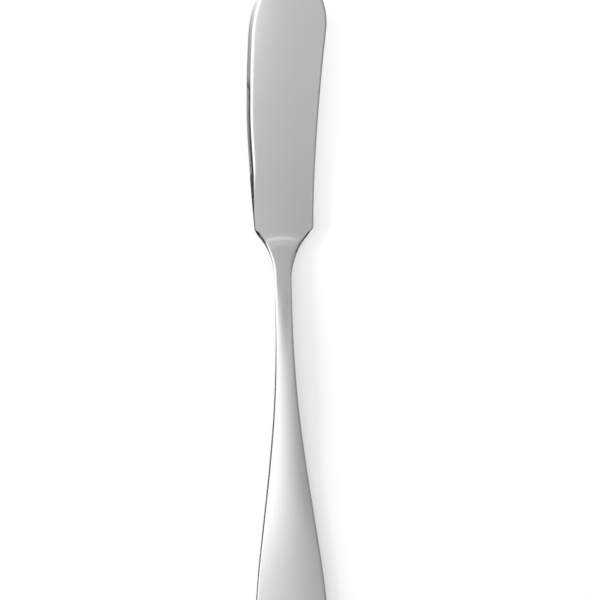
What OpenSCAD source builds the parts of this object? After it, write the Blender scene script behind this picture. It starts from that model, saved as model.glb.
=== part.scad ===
// Butter knife: a round-tipped blade with a finely toothed edge, brazed by its tang
// into a solid handle whose head laps the blade's root in an arched lip.
// The knife lies on its back. +Y runs to the tip, +X to the spine side and +Z up, and
// the origin is the middle of the knife's box, on the surface that it lies on.
// A distance called s runs along the knife from the handle's end.

/* [Knife] */
// Length from the handle's end to the blade's tip
overall_length = 170; // [150:1:200]
// Height to which the underside of the neck arches
neck_rise = 0.6; // [0.2:0.1:3]
// Height to which the blade's tip lifts
tip_lift = 4.8; // [2:0.1:7]

/* [Blade] */
// Length from the crown of the lip to the tip
blade_length = 62.7; // [55:0.1:72]
// Reach of the cutting edge from the centre line where it is fullest
edge_reach = 7.8; // [7:0.1:9]
// Drop of the cutting edge's curve from there to the heel
edge_fall = 1.32; // [0.4:0.02:2]
// Drop of the cutting edge's curve from there to where it turns into the tip
edge_turn_fall = 0.46; // [0.2:0.02:1]
// Reach of the spine from the centre line at the heel
spine_heel = 7.6; // [6.6:0.1:9]
// Distance by which the spine flares out on its way to the tip
spine_flare = 6.2; // [3:0.1:8]
// Offset of the tip's crown towards the spine
tip_offset = 3.3; // [0:0.1:5]
// Distance from the crown of the lip on to the heel
heel_ahead = 1.5; // [1:0.1:2.5]
// Rounding of the heel's corner on the side of the cutting edge
edge_heel_round = 0.5; // [0.3:0.1:1.5]
// Rounding of the heel's corner on the side of the spine
spine_heel_round = 0.9; // [0.4:0.1:2]
// Thickness at the root
root_thickness = 2; // [1.6:0.1:2.2]
// Thickness at the tip
tip_thickness = 1.6; // [1.2:0.1:1.8]
// Crowning of each face across the blade
blade_crown = 0.16; // [0:0.01:0.25]
// Width of the rounding along the spine
spine_round = 0.55; // [0.3:0.05:0.8]

/* [Cutting edge] */
// Width of the ground bevel
bevel_width = 1.05; // [0.5:0.05:1.2]
// Length over which the bevel widens from the heel
bevel_rise = 18; // [8:0.5:24]
// Thickness left at the edge
edge_thickness = 0.14; // [0.1:0.02:0.4]
// Distance from the heel to the first tooth
tooth_setback = 12.5; // [8:0.5:18]
// Length of the row of teeth
toothed_length = 25; // [15:0.5:32]
// Pitch of the teeth
tooth_pitch = 0.5; // [0.4:0.05:1]
// Depth of a tooth
tooth_depth = 0.08; // [0.05:0.01:0.25]

/* [Lip and tang] */
// Depth of the lip's arch
lip_depth = 1.2; // [0.6:0.1:2.4]
// Length of the slope that rises from the lip to the head
lip_slope = 2.2; // [1:0.1:3]
// Length over which the slope fades out on the blade
lip_fade = 1.5; // [0.8:0.1:2]
// Thickness of the head behind the lip
head_thickness = 2.7; // [2.6:0.1:3.4]
// Height of the blade's middle plane at its root
root_height = 1.5; // [1.4:0.05:1.55]
// Length of the tang
tang_length = 9; // [6:0.5:12]
// Width of the tang
tang_width = 2.2; // [1.6:0.1:2.6]
// Thickness of the tang
tang_thickness = 1.2; // [0.8:0.1:1.3]
// Brazing gap round the tang
braze_gap = 0.05; // [0.02:0.01:0.12]

/* [Handle] */
// Greatest width, near the end
handle_width = 18.2; // [14:0.1:22]
// Least width, at the neck
neck_width = 4.1; // [3.6:0.1:6]
// Thickness at the neck
neck_thickness = 2.95; // [2.6:0.05:4]
// Thickness at the end
end_thickness = 2.3; // [1.8:0.1:3]
// Length of the rounded end
end_round = 10; // [7:0.5:12]
// Distance from the lip's crown back to where the neck begins to sweep out to the heel
sweep_setback = 10.6; // [8:0.1:13]
// Distance from the lip's crown back to where the neck's arch comes down
arch_setback = 6.3; // [4:0.1:9]
// Width of the rounding along the handle's sides
side_round = 0.6; // [0.4:0.05:0.9]
// Distance from the end to the flat pad under the handle
pad_setback = 8; // [6:0.5:10]
// Length of the flat pad under the handle
pad_length = 26; // [18:1:34]

/* [Hidden] */

// Places along the knife
lip_crown = overall_length - blade_length;
lip_foot = lip_crown - lip_depth;
seam = lip_foot + lip_fade;
sweep_start = lip_crown - sweep_setback;
heel = lip_crown + heel_ahead;
pad_end = pad_setback + pad_length;
arch_end = lip_crown - arch_setback;
first_tooth = heel + tooth_setback;
tooth_count = round(toothed_length / tooth_pitch);
last_tooth = first_tooth + tooth_count * tooth_pitch;

// Where the cutting edge is fullest and where each side turns into the tip, as shares
// of the length from heel to tip
edge_full_share = 0.44;
edge_turn_share = 0.73;
edge_fade_share = 0.88;
spine_turn_share = 0.79;
// Powers of the curves: the higher, the later and the sharper a curve bends
spine_flare_power = 1.55;
edge_heel_power = 1.75;
edge_sweep_power = 2;
spine_sweep_power = 2.5;
edge_turn_power = 3;
spine_turn_power = 1.7;
tip_lift_power = 2;
arch_power = 1.5;
lip_power = 6;
root_power = 1.4;

// Half width of the handle from its end to the neck. Each entry holds a share of that
// length and a share of the way from the neck's half width to the greatest.
handle_shares = [[0.1, 1], [0.25, 0.86], [0.4, 0.605], [0.55, 0.34], [0.7, 0.125], [0.85, 0.015], [1, 0]];
// Thickness over the same length, as shares of the way from the end's to the neck's
thickness_shares = [[0, 0], [0.35, 0.2], [0.7, 0.75], [0.9, 1], [1, 1]];
// Depth of the dome on the top face over the same length, as shares of the half width
dome_shares = [[0, 0.055], [0.22, 0.075], [0.36, 0.11], [0.5, 0.16], [0.66, 0.15], [0.85, 0.1], [0.96, 0.08],
    [1, 0.01]];
// Where the slope at the lip steps down, as shares of its length, and the step's share
// of the whole drop. The rest falls evenly.
step_start_share = 0.43;
step_end_share = 0.75;
step_drop_share = 0.27;
// Depth of the rounding along the handle's sides, as shares of the side's height at the
// end and at the neck
end_side_share = 0.15;
neck_side_share = 0.055;
// Height of the rounding at the blade's spine, shoulders and tip, and of the soft line
// between a bevel and the flat, as shares of the half thickness and of the bevel's depth
blunt_share = 0.35;
soft_share = 0.12;
// Width of that soft line, as a share of the bevel's width
roll_share = 0.45;

// Facets: points across a face between the edges, and stations along each stretch
face_steps = 4;
root_steps = 11;
plain_steps = 4;
tip_steps = 14;
end_steps = 14;
shank_steps = 26;
head_steps = 8;
slope_steps = 12;
// Smallest half width of a closing section, as a share of the full one
closing_share = 0.03;
// Most of a section's width that a bevel takes, alone and with its soft line
bevel_limit_share = 0.3;
roll_limit_share = 0.4;

function mix(a, b, t) = a + (b - a) * t;
function limit(v, low, high) = min(max(v, low), high);
function share_of(v, low, high) = limit((v - low) / (high - low), 0, 1);
function ease(t) = t * t * (3 - 2 * t);

// Smooth curve through a table of [place, value] pairs, level at both ends
function slope_at(table, i) =
    i == 0 || i == len(table) - 1 ? 0
    : (table[i + 1][1] - table[i - 1][1]) / (table[i + 1][0] - table[i - 1][0]);
function curve_at(table, p, i = 0) =
    p <= table[0][0] ? table[0][1]
    : i == len(table) - 1 ? table[i][1]
    : p > table[i + 1][0] ? curve_at(table, p, i + 1)
    : let (h = table[i + 1][0] - table[i][0], q = (p - table[i][0]) / h)
        mix(table[i][1], table[i + 1][1], ease(q))
        + h * q * (1 - q) * ((1 - q) * slope_at(table, i) - q * slope_at(table, i + 1));

// Half width that a rounded end leaves, t being the share of the way through it
function round_end(t, power) = max(closing_share, sqrt(max(0, 1 - pow(limit(t, 0, 1), power))));
// Lesser of two values, with the corner rounded where they come closer than near
function soft_min(a, b, near) = min(a, b) - pow(max(near - abs(a - b), 0), 2) / near / 4;
// Drop of a rounded edge whose width and depth are 1, at t from the edge
function round_drop(t) = pow(1 - limit(t, 0, 1), 2);

// Outline. Reach of one side from the centre line, where side is -1 for the cutting
// edge and 1 for the spine.
function handle_half(s) =
    mix(neck_width / 2, handle_width / 2, curve_at(handle_shares, s / sweep_start))
    * round_end((end_round - s) / end_round, 2);
function swept_half(s, heel_half, power) =
    mix(neck_width / 2, heel_half, pow(max(s - sweep_start, 0) / (heel - sweep_start), power));
function edge_flank(t) =
    t < edge_full_share ? edge_reach - edge_fall * pow(1 - t / edge_full_share, edge_heel_power)
    : edge_reach - edge_turn_fall * pow((t - edge_full_share) / (edge_turn_share - edge_full_share), 2);
function spine_flank(t) = spine_heel + spine_flare * pow(t, spine_flare_power);
function blade_half(s, side) =
    let (t = share_of(s, heel, overall_length),
         flank = side < 0 ? edge_flank(t) : spine_flank(t),
         heel_half = side < 0 ? edge_flank(0) : spine_flank(0),
         sweep = swept_half(s, heel_half, side < 0 ? edge_sweep_power : spine_sweep_power),
         turn = side < 0 ? edge_turn_share : spine_turn_share,
         power = side < 0 ? edge_turn_power : spine_turn_power,
         plain = soft_min(flank, sweep, 2 * (side < 0 ? edge_heel_round : spine_heel_round)))
        side * tip_offset + (plain - side * tip_offset) * round_end((t - turn) / (1 - turn), power);
function reach(s, side) = s < sweep_start ? handle_half(s) : blade_half(s, side);

// Half the stretch over which the outline's slant is measured
probe = 0.05;
// Share that an inset measured straight across the knife has of it at right angles to
// the outline
function lean(s, side) =
    let (low = limit(s - probe, 0, overall_length), high = limit(s + probe, 0, overall_length),
         slant = (reach(high, side) - reach(low, side)) / (high - low))
        1 / sqrt(1 + slant * slant);

// Heights. The underside's line lies flat at the pad, arches under the neck, comes down
// again under the head and lifts to the tip.
function underside(s) =
    s < lip_crown ? neck_rise * pow(sin(180 * pow(share_of(s, pad_end, arch_end), arch_power)), 2)
    : tip_lift * pow(share_of(s, lip_crown, overall_length), tip_lift_power);
function neck_nearness(s) = curve_at(thickness_shares, s / sweep_start);
function handle_thickness(s) =
    mix(mix(end_thickness, neck_thickness, neck_nearness(s)),
        head_thickness, ease(share_of(s, sweep_start, lip_foot)));
// How far the section has swelled from the blade's to the head's, t along the slope
function swell_at(t) =
    1 - mix(ease(t), ease(share_of(t, step_start_share, step_end_share)), step_drop_share);
function blade_thickness(s) = mix(root_thickness, tip_thickness, share_of(s, lip_foot, overall_length));
function blade_middle(s) = underside(max(s, lip_crown)) + root_height;

// How far the cutting side is ground: 0 at the shoulders and the tip's crown, 1 between
function ground(s) =
    ease(share_of(s, heel, heel + bevel_rise))
    * (1 - ease(share_of(s, mix(heel, overall_length, edge_fade_share), overall_length)));
function edge_width(s, side) = side < 0 ? mix(spine_round, bevel_width, ground(s)) : spine_round;
function edge_drop(s, side) =
    let (half = blade_thickness(s) / 2)
        side > 0 ? blunt_share * half
        : mix(blunt_share * half, half - blade_crown - edge_thickness / 2, ground(s));
// Drop of the face at a distance d in from the outline: a bevel, then a soft line
function face_drop(d, width, drop) =
    d < width ? mix(drop, soft_share * drop, d / width)
    : soft_share * drop * (1 - ease(share_of(d, width, width * (1 + roll_share))));

// A section is a row of points [x, s, top, bottom] from the cutting side to the spine.
// A station gives its place at the outline, its forward bow on the centre line and, on
// the blade, the bite of a tooth, or on the handle how far it has swelled from the
// blade's root to its own full section.
function row_shares(s, width_left, width_right) =
    let (left = reach(s, -1), right = reach(s, 1), full = left + right,
         a = min(width_left / lean(s, -1) / full, bevel_limit_share),
         b = min(width_right / lean(s, 1) / full, bevel_limit_share),
         a2 = min(a * (1 + roll_share), roll_limit_share),
         b2 = min(b * (1 + roll_share), roll_limit_share))
        concat([0, a], [for (i = [0:face_steps]) mix(a2, 1 - b2, i / face_steps)], [1 - b, 1]);

function blade_section(station) =
    let (s = station[0], bow = station[1], bite = station[2],
         left = -reach(s, -1), right = reach(s, 1),
         wl = edge_width(s, -1), wr = edge_width(s, 1),
         half = blade_thickness(s) / 2, middle = blade_middle(s),
         to_tip = overall_length - s)
        [for (p = row_shares(s, wl, wr))
            let (x = mix(left, right, p),
                 dl = min((x - left) * lean(s, -1), to_tip),
                 dr = min((right - x) * lean(s, 1), to_tip),
                 crown = blade_crown * pow(2 * p - 1, 2),
                 drop = max(face_drop(dl, wl, edge_drop(s, -1)), face_drop(dr, wr, edge_drop(s, 1))),
                 rise = half - crown - drop)
                [x + (p == 0 ? bite : 0), s + bow * lip_bow(p), middle + rise, middle - rise]];
// Shape of the lip's arch across the head
function lip_bow(p) = 1 - pow(abs(2 * p - 1), lip_power);

function handle_section(station) =
    let (s = station[0], bow = station[1], swell = station[2],
         left = -reach(s, -1), right = reach(s, 1),
         full = handle_thickness(s), low = underside(s),
         dome = curve_at(dome_shares, s / sweep_start) * (right - left) / 2,
         side_depth = mix(end_side_share, neck_side_share, neck_nearness(s)) * (full - dome),
         row = row_shares(s, side_round, side_round))
        [for (i = [0:len(row) - 1])
            let (p = row[i], x = mix(left, right, p),
                 d = min((x - left) * lean(s, -1), (right - x) * lean(s, 1), s),
                 drop = round_drop(d / side_round) * side_depth,
                 top = low + full - dome * pow(2 * p - 1, 2) - drop,
                 bottom = low + drop)
                [x, s + bow * lip_bow(p),
                 mix(blade_root[i][2], top, swell), mix(blade_root[i][3], bottom, swell)]];

// Closed solid through a list of sections that all have as many points
module slab(sections) {
    rows = len(sections);
    cols = len(sections[0]);
    last = rows - 1;
    under = rows * cols;
    function quad(a, b, c, d) = [[a, b, c], [a, c, d]];
    points = concat(
        [for (row = sections, p = row) [p[0], p[1], p[2]]],
        [for (row = sections, p = row) [p[0], p[1], p[3]]]);
    faces = concat(
        [for (k = [0:last - 1], i = [0:cols - 2], f =
            let (a = k * cols + i) quad(a, a + cols, a + cols + 1, a + 1)) f],
        [for (k = [0:last - 1], i = [0:cols - 2], f =
            let (a = under + k * cols + i) quad(a, a + 1, a + cols + 1, a + cols)) f],
        [for (k = [0:last - 1], f =
            let (a = k * cols) quad(a, under + a, under + a + cols, a + cols)) f],
        [for (k = [0:last - 1], f =
            let (a = k * cols + cols - 1) quad(a, a + cols, under + a + cols, under + a)) f],
        [for (i = [0:cols - 2], f = quad(i, i + 1, under + i + 1, under + i)) f],
        [for (i = [0:cols - 2], f =
            let (a = last * cols + i) quad(a, under + a, under + a + 1, a + 1)) f]);
    polyhedron(points, faces);
}

// Stations of the blade: the root, whose sections straighten out of the lip's arch, the
// row of teeth, the plain stretch beyond it and the rounded tip
tip_start = max(mix(heel, overall_length, edge_turn_share), last_tooth + tooth_pitch);
straight_by = first_tooth - tooth_pitch;
blade_stations = concat(
    [for (i = [0:root_steps]) let (t = pow(i / root_steps, root_power))
        [mix(seam, straight_by, t), lip_depth * (1 - ease(t)), 0]],
    [for (i = [0:2 * tooth_count])
        [first_tooth + i * tooth_pitch / 2, 0, i % 2 == 1 ? tooth_depth : 0]],
    [for (i = [1:plain_steps]) [mix(last_tooth, tip_start, i / plain_steps), 0, 0]],
    [for (i = [1:tip_steps]) [mix(tip_start, overall_length, sin(90 * i / tip_steps)), 0, 0]]);

// Stations of the handle: the rounded end, the shank, the head, whose sections bow
// into the lip's arch, and the slope that comes down to the blade
slope_start = lip_foot - lip_slope;
handle_stations = concat(
    [for (i = [0:end_steps]) [end_round * (1 - cos(90 * i / end_steps)), 0, 1]],
    [for (i = [1:shank_steps]) [mix(end_round, sweep_start, i / shank_steps), 0, 1]],
    [for (i = [1:head_steps]) let (t = i / head_steps)
        [mix(sweep_start, slope_start, t), lip_depth * ease(t), 1]],
    [for (i = [1:slope_steps - 1]) let (t = i / slope_steps)
        [mix(slope_start, seam, t), lip_depth, swell_at(t)]]);

blade_sections = [for (station = blade_stations) blade_section(station)];
blade_root = blade_sections[0];
handle_sections = concat([for (station = handle_stations) handle_section(station)], [blade_root]);

// The knife's box, whose middle is the origin
all_x = [for (row = concat(blade_sections, handle_sections)) each [row[0][0], row[len(row) - 1][0]]];
middle_x = (min(all_x) + max(all_x)) / 2;

module place() {
    translate([-middle_x, -overall_length / 2, 0]) children();
}

// The tang, or with a gap the slot that holds it. It starts inside the blade.
module tang(gap) {
    embed = lip_slope + lip_fade;
    width = tang_width + 2 * gap;
    height = tang_thickness + 2 * gap;
    length = tang_length + gap + embed;
    translate([-width / 2, lip_crown - tang_length - gap, root_height - height / 2])
        cube([width, length, height]);
}

module blade() {
    color("gainsboro") place() union() {
        slab(blade_sections);
        tang(0);
    }
}

module handle() {
    color("silver") place() difference() {
        slab(handle_sections);
        tang(braze_gap);
    }
}

blade();
handle();
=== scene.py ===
# A butter knife of satin steel: a round-tipped blade with a finely toothed edge, brazed
# into a solid handle that flares from a narrow neck. Sizes are in millimetres, apart from
# those of the table and the studio, which are in metres.
import math

import bmesh
import bpy
import numpy as np
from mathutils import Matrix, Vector


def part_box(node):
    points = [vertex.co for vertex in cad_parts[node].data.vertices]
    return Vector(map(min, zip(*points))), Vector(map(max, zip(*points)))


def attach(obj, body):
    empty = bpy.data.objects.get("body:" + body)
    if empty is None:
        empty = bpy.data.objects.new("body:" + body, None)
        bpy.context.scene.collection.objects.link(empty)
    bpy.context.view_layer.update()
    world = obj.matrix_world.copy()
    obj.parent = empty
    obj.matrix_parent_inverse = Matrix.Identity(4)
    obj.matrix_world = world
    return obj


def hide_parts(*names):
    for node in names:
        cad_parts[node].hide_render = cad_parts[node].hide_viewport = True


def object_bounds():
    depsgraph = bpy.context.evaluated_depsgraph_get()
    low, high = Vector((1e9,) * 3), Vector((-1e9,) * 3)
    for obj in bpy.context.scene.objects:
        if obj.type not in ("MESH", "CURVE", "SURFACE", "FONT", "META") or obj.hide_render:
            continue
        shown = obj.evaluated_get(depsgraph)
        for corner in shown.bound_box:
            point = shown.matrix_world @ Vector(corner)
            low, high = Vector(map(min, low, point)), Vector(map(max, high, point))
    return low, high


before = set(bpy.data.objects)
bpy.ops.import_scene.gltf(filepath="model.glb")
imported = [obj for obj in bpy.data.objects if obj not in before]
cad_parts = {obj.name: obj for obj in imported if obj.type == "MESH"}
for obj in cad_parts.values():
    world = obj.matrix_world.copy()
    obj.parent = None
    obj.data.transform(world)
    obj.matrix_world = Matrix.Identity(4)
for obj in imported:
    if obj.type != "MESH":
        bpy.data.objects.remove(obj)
cad_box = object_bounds()
mm = 0.001

# Blade
# One plate of hardened steel. Its toothed edge is ground to a bevel, its shoulders are
# chamfered and its spine is rounded. It is satin finished along its length. Its tang,
# which is brazed into the handle, is not drawn here.
knife_low, knife_high = (np.array(corner) / mm for corner in cad_box)
handle_low, handle_high = (np.array(corner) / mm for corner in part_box("handle"))
centre_x = (handle_low[0] + handle_high[0]) / 2
end_y = knife_low[1]

overall_length = knife_high[1] - knife_low[1]
blade_length = 62.7
edge_reach = 7.8
edge_fall = 1.32
edge_turn_fall = 0.78
spine_heel = 7.6
spine_flare = 6.2
tip_offset = 3.3
heel_ahead = 1.5
edge_heel_round = 0.5
spine_heel_round = 0.9
root_thickness = 2
tip_thickness = 1.6
blade_crown = 0.16
blade_cup = (-0.09, 0.4)
spine_round = 0.55
spine_round_depth = 0.24
bevel_width = (1.15, 1.05)
bevel_slope = (0.635, 0.45)
bevel_start = 1.5
bevel_rise = 16.5
bevel_shine = 0.3
roll_depth = 0.07
chamfer_width = 0.7
chamfer_shine = 0.75
heel_chamfer = 0.2
shoulder_round = 1.1
shoulder_round_depth = 0.8
shoulder_fade = (-0.6, 0.8)
tooth_setback = 12.5
toothed_length = 25
tooth_pitch = 0.5
tooth_depth = 0.08
tooth_fade = (2, 4)
lip_depth = 1.25
lip_fade = 1.33
neck_width = 4.1
neck_rise = 0.6
pad_end = 34
arch_end = 101
tip_lift = 4.8
sweep_setback = 10.6
root_height = 1.5

lip_crown = overall_length - blade_length
lip_foot = lip_crown - lip_depth
sweep_start = lip_crown - sweep_setback
seam = lip_foot + lip_fade
heel = lip_crown + heel_ahead
first_tooth = heel + tooth_setback
last_tooth = first_tooth + toothed_length
edge_full_share = 0.44
edge_turn_share = 0.73
spine_turn_share = 0.79
ground_end_share = 0.88
roll_share = 0.38
bite_share = 1.05
edge_power = 1.5
spine_power = 1.55
edge_sweep_power = 2.55
spine_sweep_power = 2.25
edge_turn_power = 3
spine_turn_power = 1.7
arch_power = 1.5


def mix(a, b, t):
    """a + (b - a) t."""
    return a + (b - a) * t


def share_of(value, low, high):
    """How far value is from low to high: (value - low) / (high - low), kept in 0 to 1."""
    return np.clip((value - low) / (high - low), 0, 1)


def ease(t):
    """3 t^2 - 2 t^3, level at 0 and at 1."""
    return t * t * (3 - 2 * t)


def round_end(t, power):
    """What a rounded end leaves of the half width: sqrt(1 - t^power)."""
    return np.sqrt(1 - np.clip(t, 0, 1) ** power)


def round_drop(r):
    """Drop of a rounded edge, which steepens evenly towards the side: (1 - r)^2."""
    return (1 - np.clip(r, 0, 1)) ** 2


def blade_reach(s, side):
    """Distance of the outline from the centre line. With t the share of the way from heel
    to tip, the edge (side -1) is fullest at a share f and falls from there as a power on
    either hand, and the spine (side 1) is heel + flare t^power. At the heel the flank
    meets the sweep that rises from the neck as a power, and their corner is rounded; at
    the tip it turns in as sqrt(1 - t^power) about a crown that lies towards the spine."""
    t = share_of(s, heel, overall_length)
    if side < 0:
        to_heel = 1 - share_of(t, 0, edge_full_share)
        to_turn = np.maximum(t - edge_full_share, 0) / (edge_turn_share - edge_full_share)
        flank = edge_reach - edge_fall * to_heel**edge_power - edge_turn_fall * to_turn**edge_power
        heel_half = edge_reach - edge_fall
        near = 2 * edge_heel_round
        sweep_power = edge_sweep_power
        turn = edge_turn_share
        turn_power = edge_turn_power
    else:
        flank = spine_heel + spine_flare * t**spine_power
        heel_half = spine_heel
        near = 2 * spine_heel_round
        sweep_power = spine_sweep_power
        turn = spine_turn_share
        turn_power = spine_turn_power
    rise = np.maximum(s - sweep_start, 0) / (heel - sweep_start)
    sweep = mix(neck_width / 2, heel_half, rise**sweep_power)
    plain = np.minimum(flank, sweep) - np.maximum(near - abs(flank - sweep), 0) ** 2 / near / 4
    crown = side * tip_offset
    return crown + (plain - crown) * round_end((t - turn) / (1 - turn), turn_power)


def underside(s):
    """Height of the underside's line: flat at the pad, rise sin^2(pi t^power) under the
    neck, down again at the head, then lift t^2 to the tip."""
    arch = neck_rise * np.sin(math.pi * share_of(s, pad_end, arch_end) ** arch_power) ** 2
    return np.where(s < lip_crown, arch, tip_lift * share_of(s, lip_crown, overall_length) ** 2)


# Each side of a section is a rim, whose points lie at these shares of the rim's width
# in from the outline, and the middle lies between the two rims at these shares.
rim_shares = np.concatenate([
    1 - np.cos(np.linspace(0, math.pi / 2, 9)),
    1 + roll_share * np.linspace(0.25, 1, 4),
])
middle_places = np.linspace(0, 1, 25)[1:-1]
middle_shares = mix(middle_places, ease(middle_places), 0.5)
rim_bow = 0.62
spine_lag = 0.86


def sections(s, reach, rims, bow):
    """Points across the knife at stations s. A rim's points are set in from the outline
    along its normal (1, reach') / sqrt(1 + reach'^2), and the middle spans the rims. A
    row bows forward by a share of bow: b r across a rim's width, and from there to 1 as
    1 - |2 q - 1|^3 across the middle. On the spine side it starts further back, by a
    share lag. Gives x, s, the station whose size each point has, each side's share of
    rim, and the share across."""
    step = 0.002
    steep = 1 / step**2
    tiny = 1e-6
    sides = []
    stations = []
    for side, lag in ((-1, 0), (1, spine_lag)):
        rim_rise = (1 + lag) * rim_bow * np.minimum(rim_shares, 1) - lag
        station = s[:, None] + bow[:, None] * rim_rise
        rim = rims(station, s[:, None], side)
        stations.append(station)
        slant = (reach(station + step, side) - reach(station - step, side)) / (2 * step)
        slant = np.where(station <= 0, steep, np.where(station >= overall_length, -steep, slant))
        lean = 1 / np.sqrt(1 + slant**2)
        inset = rim * rim_shares
        sides.append((side * (reach(station, side) - inset * lean), station + inset * slant * lean))
    (left_x, left_s), (right_x, right_s) = sides
    middle_x = mix(left_x[:, -1:], right_x[:, -1:], middle_shares)
    arch = bow[:, None] * (1 - rim_bow) * (1 - abs(2 * middle_shares - 1) ** 3)
    middle_s = mix(left_s[:, -1:], right_s[:, -1:], middle_shares) + arch
    left_station, right_station = stations
    middle_station = mix(left_station[:, -1:], right_station[:, -1:], middle_shares) + arch
    x = np.hstack([left_x, middle_x, right_x[:, ::-1]])
    along = np.hstack([left_s, middle_s, right_s[:, ::-1]])
    station = np.hstack([left_station, middle_station, right_station[:, ::-1]])
    far = np.full(len(middle_shares) + len(rim_shares), 9.0)
    from_left = np.ones((len(s), 1)) * np.concatenate([rim_shares, far])
    across = (x - left_x[:, :1]) / np.maximum(right_x[:, :1] - left_x[:, :1], tiny)
    return x, along, station, from_left, from_left[:, ::-1], across


def ground_share(s):
    """How far the cutting side is ground: 0 at the shoulders and the tip's crown, 1 between."""
    fade_start = mix(heel, overall_length, ground_end_share)
    ground = ease(share_of(s, heel + bevel_start, heel + bevel_start + bevel_rise))
    return ground * (1 - ease(share_of(s, fade_start, overall_length)))


def shoulder_share(s):
    """How near the shoulders a place is: 1 up to the heel, then 0."""
    return 1 - ease(share_of(s, heel + shoulder_fade[0], heel + shoulder_fade[1]))


def edge_share(s):
    """How far the cutting side is chamfered before the bevel takes over: 1, then 0 at
    the tip."""
    return 1 - ease(share_of(s, last_tooth, overall_length))


def bevel_at(sizes, s):
    """A size of the bevel, between its values at the heel and at the tip."""
    return mix(*sizes, share_of(s, heel, overall_length))


def blade_rims(station, row, side):
    """Width of a side's rim: the bevel's and the chamfer's, or the spine's rounding. The
    row's own station isn't needed here, but it is for the handle's rims."""
    shoulder, edge = shoulder_share(station), edge_share(station)
    edge_rim = mix(mix(spine_round, heel_chamfer, edge), chamfer_width, shoulder)
    if side > 0:
        return mix(spine_round, shoulder_round, shoulder)
    return mix(edge_rim, bevel_at(bevel_width, station), ground_share(station))


def blade_heights(x, along, station, from_left, from_right):
    """Top and underside of the blade about its middle plane: half the thickness, which goes
    from root to tip as t^2, less a crown c q^2, q being the share of the way from the
    middle to either side, less each rim's drop: straight on the bevel and the chamfer,
    rounded on the spine side, and a soft roll by the bevel, which grows as its share
    cubed. Towards the edge the middle plane itself falls as q^2, by a cup that goes from
    heel to tip as t^2."""
    half = mix(root_thickness, tip_thickness, share_of(station, lip_foot, overall_length) ** 2) / 2
    ground, shoulder = ground_share(station), shoulder_share(station)
    straight = np.maximum(np.maximum(shoulder, edge_share(station)), ground)
    rim = blade_rims(station, station, -1)
    slanted = bevel_at(bevel_slope, station) * rim * np.clip(1 - from_left, 0, 1)
    roll = ground**3 * roll_depth * (1 - ease(share_of(from_left, 1, 1 + roll_share)))
    left_drop = mix(spine_round_depth * round_drop(from_left), slanted, straight) + roll
    right_drop = mix(spine_round_depth, shoulder_round_depth, shoulder) * round_drop(from_right)
    full_width = np.clip(station, heel + spine_heel_round, mix(heel, overall_length, edge_turn_share))
    left_reach, right_reach = blade_reach(full_width, -1), blade_reach(full_width, 1)
    aside = (2 * x + left_reach - right_reach) / (left_reach + right_reach)
    cup = mix(*blade_cup, share_of(station, heel, overall_length) ** 2) * np.minimum(aside, 0) ** 2
    middle = underside(np.maximum(along, lip_crown)) + root_height - cup
    rise = half - left_drop - right_drop - blade_crown * aside**2
    return middle + rise, middle - rise


weld_distance = 0.002
crease_angle = math.radians(24)


def skin(name, x, along, top, bottom, bright, start_closed, end_closed):
    """A closed mesh through rows of points: top and underside as two sheets, a wall down
    each side, and a cap at each end that doesn't close in a pole. Points of the knife,
    x from the centre line and s from the handle's end, are placed in the row frame. The
    attribute bright is the share of fine grinding at each point."""
    rows, columns = x.shape
    low, high = (np.array(corner) for corner in cad_box)
    sheets = [np.dstack([centre_x + x, end_y + along, z]).reshape(-1, 3) * mm for z in (top, bottom)]
    points = np.clip(np.vstack(sheets), low, high)
    upper = np.arange(rows * columns).reshape(rows, columns)
    under = upper + rows * columns
    faces = [
        np.dstack([upper[:-1, :-1], upper[:-1, 1:], upper[1:, 1:], upper[1:, :-1]]),
        np.dstack([under[:-1, :-1], under[1:, :-1], under[1:, 1:], under[:-1, 1:]]),
        np.dstack([upper[:-1, :1], upper[1:, :1], under[1:, :1], under[:-1, :1]]),
        np.dstack([upper[:-1, -1:], under[:-1, -1:], under[1:, -1:], upper[1:, -1:]]),
    ]
    if not start_closed:
        faces.append(np.dstack([upper[:1, :-1], under[:1, :-1], under[:1, 1:], upper[:1, 1:]]))
    if not end_closed:
        faces.append(np.dstack([upper[-1:, :-1], upper[-1:, 1:], under[-1:, 1:], under[-1:, :-1]]))
    quads = np.vstack([part.reshape(-1, 4) for part in faces])
    mesh = bpy.data.meshes.new(name)
    mesh.from_pydata(points.tolist(), [], quads.tolist())
    shine = mesh.attributes.new("bright", "FLOAT", "POINT")
    shine.data.foreach_set("value", np.tile(bright.ravel(), 2))
    whole = bmesh.new()
    whole.from_mesh(mesh)
    bmesh.ops.remove_doubles(whole, verts=whole.verts, dist=weld_distance * mm)
    whole.to_mesh(mesh)
    whole.free()
    mesh.shade_smooth()
    mesh.set_sharp_from_angle(angle=crease_angle)
    piece = bpy.data.objects.new(name, mesh)
    bpy.context.scene.collection.objects.link(piece)
    return piece


class Wire:
    """A value in a finish. Its operators add the Math nodes that work it out."""

    def __init__(self, finish, socket):
        self.finish, self.socket = finish, socket

    def combine(self, operation, first, second):
        return self.finish.add("ShaderNodeMath", {"operation": operation}, {0: first, 1: second})

    def __add__(self, other):
        return self.combine("ADD", self, other)

    def __mul__(self, other):
        return self.combine("MULTIPLY", self, other)

    def __sub__(self, other):
        return self.combine("SUBTRACT", self, other)

    def __rsub__(self, other):
        return self.combine("SUBTRACT", other, self)

    __radd__ = __add__


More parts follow.
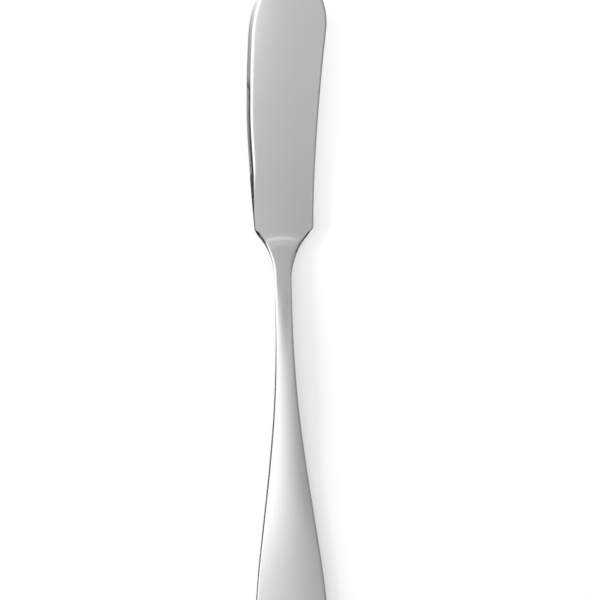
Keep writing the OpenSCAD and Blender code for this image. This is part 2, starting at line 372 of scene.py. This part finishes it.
class Finish:
    """The node tree of a material or a world, empty at the start."""

    def __init__(self, owner):
        owner.use_nodes = True
        self.tree = owner.node_tree
        self.tree.nodes.clear()

    def add(self, kind, settings=None, inputs=None, output=0):
        """Adds a node with its settings, then its inputs as values or wires."""
        node = self.tree.nodes.new(kind)
        for key, value in (settings or {}).items():
            setattr(node, key, value)
        for key, value in (inputs or {}).items():
            if isinstance(value, Wire):
                self.tree.links.new(value.socket, node.inputs[key])
            else:
                node.inputs[key].default_value = value
        return Wire(self, node.outputs[output]) if node.outputs else node


steel_grey = 0.72
steel_rough = 0.25
grain_scale = (6000, 40, 6000)
grain_rough = 0.05
grain_strength = 0.04
grain_height = 0.02
cloud_scale = 60.0
cloud_rough = 0.03
bright_gain = 0.18


def brushed_steel(name):
    """Satin steel: a metal whose grain runs along the knife. The grain is noise drawn
    out along Y: it cuts fine grooves by a bump and varies the roughness, which wide
    clouds vary too. Finely ground steel is smoother, by bright times the gain."""
    material = bpy.data.materials.new(name)
    finish = Finish(material)
    place = finish.add("ShaderNodeTexCoord", output="Object")
    drawn = finish.add("ShaderNodeMapping", {}, {"Vector": place, "Scale": grain_scale})
    fine = finish.add("ShaderNodeTexNoise", {}, {"Vector": drawn, "Scale": 1.0, "Detail": 3.0})
    cloud = finish.add("ShaderNodeTexNoise", {}, {"Vector": place, "Scale": cloud_scale, "Detail": 2.0})
    bright = finish.add("ShaderNodeAttribute", {"attribute_name": "bright"}, output="Fac")
    rough = steel_rough + (fine - 0.5) * grain_rough + (cloud - 0.5) * cloud_rough
    rough = rough - bright * bright_gain
    bump = finish.add("ShaderNodeBump", {}, {
        "Strength": grain_strength, "Distance": grain_height * mm, "Height": fine,
    })
    steel = finish.add("ShaderNodeBsdfPrincipled", {}, {
        "Base Color": (steel_grey, steel_grey, steel_grey, 1),
        "Metallic": 1.0, "Roughness": rough, "Normal": bump,
    })
    finish.add("ShaderNodeOutputMaterial", {}, {"Surface": steel})
    return material


turn_start = mix(heel, overall_length, edge_turn_share)
tip_angles = np.linspace(0, math.pi / 2, 60)
blade_s = np.concatenate([
    np.linspace(seam, heel + 2, 60)[:-1],
    np.linspace(heel + 2, first_tooth, 40)[:-1],
    np.linspace(first_tooth, last_tooth, round(toothed_length / tooth_pitch) * 6 + 1)[:-1],
    np.linspace(last_tooth, turn_start, 20)[:-1],
    mix(turn_start, overall_length, np.sin(tip_angles)),
])
straight_by = first_tooth - tooth_pitch
blade_bow = lip_depth * (1 - ease(share_of(blade_s, seam, straight_by)))
rows = sections(blade_s, blade_reach, blade_rims, blade_bow)
x, along, station, from_left, from_right = rows[:-1]
top, bottom = blade_heights(x, along, station, from_left, from_right)

# The teeth are vee grooves ground across the bevel, and they nick the edge. They fade at
# both ends of their row.
in_row = (blade_s > first_tooth) & (blade_s < last_tooth)
phase = (blade_s - first_tooth) / tooth_pitch
fade_in = ease(share_of(blade_s, first_tooth, first_tooth + tooth_fade[0]))
fade_out = ease(1 - share_of(blade_s, last_tooth - tooth_fade[1], last_tooth))
groove = (in_row * fade_in * fade_out * (1 - abs(2 * (phase % 1) - 1)))[:, None]
bite = tooth_depth * groove * np.sqrt(np.clip(bite_share - from_left, 0, 1)) * (from_left < 1)
x += tooth_depth * groove * np.clip(1 - from_left, 0, 1)
top -= bite
bottom += bite

shoulder = shoulder_share(station)
edge = np.maximum(shoulder, edge_share(station))
bright = (from_left <= 1) * mix(edge * chamfer_shine, bevel_shine, ground_share(station))
bright += (from_right <= 1) * shoulder * chamfer_shine
blade = skin("knife_blade", x, along, top, bottom, bright, start_closed=False, end_closed=True)
blade.data.materials.append(brushed_steel("blade_steel"))
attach(blade, "root")
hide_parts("blade")

# Handle
# One forging of solid steel. Its head laps the blade's root in an arched lip. The slot
# for the tang is not cut here. From the narrow neck it flares to a thin rounded end,
# domed on top and flat where it lies.
handle_width = 18.2
neck_thickness = 2.95
head_thickness = 2.7
end_thickness = 2.3
end_round = 10
side_round = 0.6
side_round_depth = 0.23
neck_round = 0.6
neck_round_depth = 0.15
head_round_depth = 0.23
lip_slope = 2.52
head_facet = 1.1
head_facet_depth = 0.42
head_edge_depth = 0.2
handle_shares = [
    (0.1, 1), (0.25, 0.86), (0.4, 0.605), (0.55, 0.34), (0.7, 0.125), (0.85, 0.015), (1, 0),
]
thickness_shares = [(0, 0), (0.35, 0.2), (0.7, 0.75), (0.9, 1), (1, 1)]
dome_shares = [
    (0, 0.055), (0.22, 0.075), (0.36, 0.11), (0.5, 0.16), (0.66, 0.15), (0.85, 0.1),
    (0.96, 0.05), (1, 0.01),
]
neck_shares = (0.6, 0.95)
crest_shares = (0.42, 0.61)
crest_share = 0.11
slope_ease_share = 0.6
head_power = 1.4


def curve_at(table, place):
    """A smooth curve through (place, value) pairs, level at both ends: between two pairs
    mix(v0, v1, ease(q)) + h q (1 - q) ((1 - q) m0 - q m1), with h their distance, q the
    share of it, and m each pair's slope, which is that of the line past its neighbours."""
    places, values = (np.array(column, float) for column in zip(*table))
    slopes = np.zeros(len(places))
    slopes[1:-1] = (values[2:] - values[:-2]) / (places[2:] - places[:-2])
    place = np.clip(place, places[0], places[-1])
    i = np.clip(np.searchsorted(places, place) - 1, 0, len(places) - 2)
    h = places[i + 1] - places[i]
    q = (place - places[i]) / h
    bend = h * q * (1 - q) * ((1 - q) * slopes[i] - q * slopes[i + 1])
    return mix(values[i], values[i + 1], ease(q)) + bend


def handle_reach(s, side):
    """Distance of the outline from the centre line: a smooth curve through the shares
    from the rounded end to the neck, and from there the blade's own sweep."""
    shank = mix(neck_width / 2, handle_width / 2, curve_at(handle_shares, s / sweep_start))
    shank = shank * round_end((end_round - s) / end_round, 2)
    return np.where(s < sweep_start, shank, blade_reach(s, side))


def neck_share(s):
    """How near the neck a place is, for the rounding of the sides: 0 along the shank, 1
    at the neck and the head."""
    return ease(share_of(s, neck_shares[0] * sweep_start, neck_shares[1] * sweep_start))


def head_share(s):
    """How near the lip a place on the head is: t^power from the neck to the slope."""
    return share_of(s, sweep_start, slope_start) ** head_power


def handle_rims(station, row, side):
    """Width of the rounding along a side. Over the head the spine's side widens into a
    facet, and where the lip slopes down both become the blade's own."""
    rim = mix(side_round, neck_round, neck_share(station))
    if side > 0:
        rim = mix(rim, head_facet, head_share(station))
    return mix(rim, blade_rims(station, row, side), ease(share_of(row, slope_start, seam)))


def handle_heights(station, from_left, from_right, across):
    """Top and underside of the handle: the underside's line and the thickness above it,
    less a dome d (2 q - 1)^2 on top, with its sides rounded above and below. The facet
    falls as (1 - r), and its own edge is rounded off as (1 - r)^4."""
    shank = mix(end_thickness, neck_thickness, curve_at(thickness_shares, station / sweep_start))
    full = mix(shank, head_thickness, ease(share_of(station, sweep_start, lip_foot)))
    half_width = (handle_reach(station, -1) + handle_reach(station, 1)) / 2
    dome = curve_at(dome_shares, station / sweep_start) * half_width
    depth = mix(side_round_depth, neck_round_depth, neck_share(station))
    depth = mix(depth, head_round_depth, head_share(station))
    facet = np.clip(1 - from_right, 0, 1)
    facet = head_facet_depth * facet + head_edge_depth * facet**4
    left_drop = round_drop(from_left) * depth
    right_drop = mix(round_drop(from_right) * depth, facet, head_share(station))
    drop = left_drop + right_drop
    top = underside(station) + full - dome * (2 * across - 1) ** 2 - drop
    return top, underside(station) + drop


slope_start = lip_foot - lip_slope
end_angles = np.linspace(0, math.pi / 2, 50)
handle_s = np.concatenate([
    end_round * (1 - np.cos(end_angles))[:-1],
    np.linspace(end_round, sweep_start, 240)[:-1],
    np.linspace(sweep_start, slope_start, 50)[:-1],
    np.linspace(slope_start, seam, 32),
])
handle_bow = lip_depth * ease(share_of(handle_s, sweep_start, slope_start))
rows = sections(handle_s, handle_reach, handle_rims, handle_bow)
x, along, station, from_left, from_right, across = rows
top, bottom = handle_heights(station, from_left, from_right, across)

# Down the lip's slope the handle's heights give way to the blade's, a small share of
# them in a steeper crest
blade_top, blade_bottom = blade_heights(x, along, station, from_left, from_right)
slope = share_of(handle_s, slope_start, seam)
even = mix(slope, ease(slope), slope_ease_share)
crest = ease(share_of(slope, *crest_shares))
swell = 1 - mix(even, crest, crest_share)[:, None]
top = mix(blade_top, top, swell)
bottom = mix(blade_bottom, bottom, swell)

handle = skin("knife_handle", x, along, top, bottom, 0 * x, start_closed=True, end_closed=False)
handle.data.materials.append(brushed_steel("handle_steel"))
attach(handle, "root")
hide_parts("handle")

# Table
# A smooth white sheet under the knife. It shows as white, and keeps the knife's shadow.
table_size = 6
table_white = 0.4
table_lift = 0.46
corners = [(-1, -1, 0), (1, -1, 0), (1, 1, 0), (-1, 1, 0)]
table_mesh = bpy.data.meshes.new("table")
table_mesh.from_pydata((np.array(corners) * table_size / 2).tolist(), [], [(0, 1, 2, 3)])
table = bpy.data.objects.new("table", table_mesh)
bpy.context.scene.collection.objects.link(table)
paper = bpy.data.materials.new("table_white")
finish = Finish(paper)
path = finish.add("ShaderNodeLightPath")
node = path.socket.node
seen = Wire(finish, node.outputs["Is Camera Ray"]) + Wire(finish, node.outputs["Is Glossy Ray"])
seen = seen + Wire(finish, node.outputs["Is Transmission Ray"])
matt = finish.add("ShaderNodeBsdfDiffuse", {}, {"Color": (table_white, table_white, table_white, 1)})
glow = finish.add("ShaderNodeEmission", {}, {"Strength": seen * table_lift})
both = finish.add("ShaderNodeAddShader", {}, {0: matt, 1: glow})
finish.add("ShaderNodeOutputMaterial", {}, {"Surface": both})
table.data.materials.append(paper)

# Studio
# The room is bright at the left, where a wall of soft boxes stands, and dim at the right.
# A low lamp behind them draws the soft shadow, and a fill lamp keeps it narrow beside
# the blade. The camera's boom overhead, a thin scrim over the handle's end and dark
# flags round the near side give the steel its grey and its dark lines, so only it sees
# them.
room_grey = 1.0
room_turn = -1.3
room_dim = 0.44
room_bright = 1.6
low_turn = math.radians(172)
low_tilt = math.radians(70)
low_spread = math.radians(26)
low_light = 4.2
fill_watts = 2.4
fill_cone = math.radians(46)
fill_place = (0.16, 0.2, 0.12)
fill_target = (0.03, 0.1, 0)
fill_soft = 0.04
room_rise = (0.25, 0.7)
room_low_share = 0.65
flag_radius = 1.4
flag_foot = 0.002
flag_height = 0.86
flag_span = (math.radians(150), math.radians(345))
boom_height = 0.549
boom_width = (-0.085, 0.094)
boom_reach = (0.016, 0.095)
scrim_height = 0.1
scrim_width = (-0.06, 0.06)
scrim_reach = (-0.2, -0.062)
scrim_share = 0.26
cloth_grey = 0.03

room = bpy.data.worlds.new("room")
bpy.context.scene.world = room
finish = Finish(room)
facing = finish.add("ShaderNodeTexCoord", output="Generated")
axes = finish.add("ShaderNodeSeparateXYZ", {}, {"Vector": facing}).socket.node.outputs
sideways = 1 - Wire(finish, axes["Y"]) * Wire(finish, axes["Y"])
turned = Wire(finish, axes["X"]) * sideways * sideways * room_turn
strength = finish.add("ShaderNodeClamp", {}, {
    "Value": turned + room_grey, "Min": room_dim, "Max": room_bright,
})
high = finish.add("ShaderNodeMapRange", {"interpolation_type": "SMOOTHSTEP"}, {
    "Value": Wire(finish, axes["Z"]), "From Min": room_rise[0], "From Max": room_rise[1],
    "To Min": room_low_share, "To Max": 1.0,
})
strength = strength * high
seen = finish.add("ShaderNodeLightPath", output="Is Camera Ray")
strength = strength + (1 - strength) * seen
air = finish.add("ShaderNodeBackground", {}, {"Color": (1, 1, 1, 1), "Strength": strength})
finish.add("ShaderNodeOutputWorld", {}, {"Surface": air})

fill = bpy.data.lights.new("fill_lamp", "SPOT")
fill.energy = fill_watts
fill.spot_size = fill_cone
fill.spot_blend = 1.0
fill.shadow_soft_size = fill_soft
fill_lamp = bpy.data.objects.new("fill_lamp", fill)
fill_lamp.location = fill_place
fill_aim = Vector(fill_target) - Vector(fill_place)
fill_lamp.rotation_euler = fill_aim.to_track_quat("-Z", "Y").to_euler()
fill_lamp.visible_camera = fill_lamp.visible_glossy = False
bpy.context.scene.collection.objects.link(fill_lamp)

lamp = bpy.data.lights.new("low_lamp", "SUN")
lamp.energy = low_light
lamp.angle = low_spread
low_lamp = bpy.data.objects.new("low_lamp", lamp)
low_lamp.rotation_euler = (0, low_tilt, low_turn)
low_lamp.visible_camera = low_lamp.visible_glossy = False
bpy.context.scene.collection.objects.link(low_lamp)


def dark_cloth(name, x, y, z, share=1.0):
    """A dark sheet over the grid x, y, z that only reflections see. It covers a share of
    what is behind it."""
    points = np.dstack([x, y, z]).reshape(-1, 3)
    index = np.arange(x.size).reshape(x.shape)
    quads = np.dstack([index[:-1, :-1], index[1:, :-1], index[1:, 1:], index[:-1, 1:]]).reshape(-1, 4)
    mesh = bpy.data.meshes.new(name)
    mesh.from_pydata(points.tolist(), [], quads.tolist())
    cloth = bpy.data.objects.new(name, mesh)
    bpy.context.scene.collection.objects.link(cloth)
    dark = bpy.data.materials.new(name)
    finish = Finish(dark)
    clear = finish.add("ShaderNodeBsdfTransparent")
    even = finish.add("ShaderNodeEmission", {}, {"Color": (1, 1, 1, 1), "Strength": cloth_grey})
    weave = finish.add("ShaderNodeMixShader", {}, {"Fac": share, 1: clear, 2: even})
    finish.add("ShaderNodeOutputMaterial", {}, {"Surface": weave})
    mesh.materials.append(dark)
    for ray in ("camera", "diffuse", "shadow", "transmission", "volume_scatter"):
        setattr(cloth, "visible_" + ray, False)


flag_turns = np.linspace(*flag_span, 49)
flag_rises = np.linspace(flag_foot, flag_height, 5)
turn, rise = np.meshgrid(flag_turns, flag_rises, indexing="ij")
dark_cloth("flags", flag_radius * np.cos(turn), flag_radius * np.sin(turn), rise)
wide, deep = np.meshgrid(boom_width, boom_reach, indexing="ij")
dark_cloth("boom", wide, deep, np.full(wide.shape, boom_height))
wide, deep = np.meshgrid(scrim_width, scrim_reach, indexing="ij")
dark_cloth("scrim", wide, deep, np.full(wide.shape, scrim_height), scrim_share)

# Camera
# Straight above the knife, with a long lens. The knife's axis leans a little in the
# picture, and both of its ends lie outside it.
camera_height = 550
focus_height = 2.5
picture_height = 144
picture_centre = (1.17, 7.39)
picture_turn = -1.467
sensor_width = 36
lens_mm = sensor_width * (camera_height - focus_height) / picture_height
view = bpy.data.cameras.new("camera")
view.sensor_width = sensor_width
view.lens = lens_mm
view.clip_start = 0.05
view.clip_end = 20
camera = bpy.data.objects.new("camera", view)
camera.location = (picture_centre[0] * mm, picture_centre[1] * mm, camera_height * mm)
camera.rotation_euler = (0, 0, math.radians(picture_turn))
bpy.context.scene.collection.objects.link(camera)
bpy.context.scene.camera = camera
bpy.context.scene.view_settings.view_transform = "Standard"
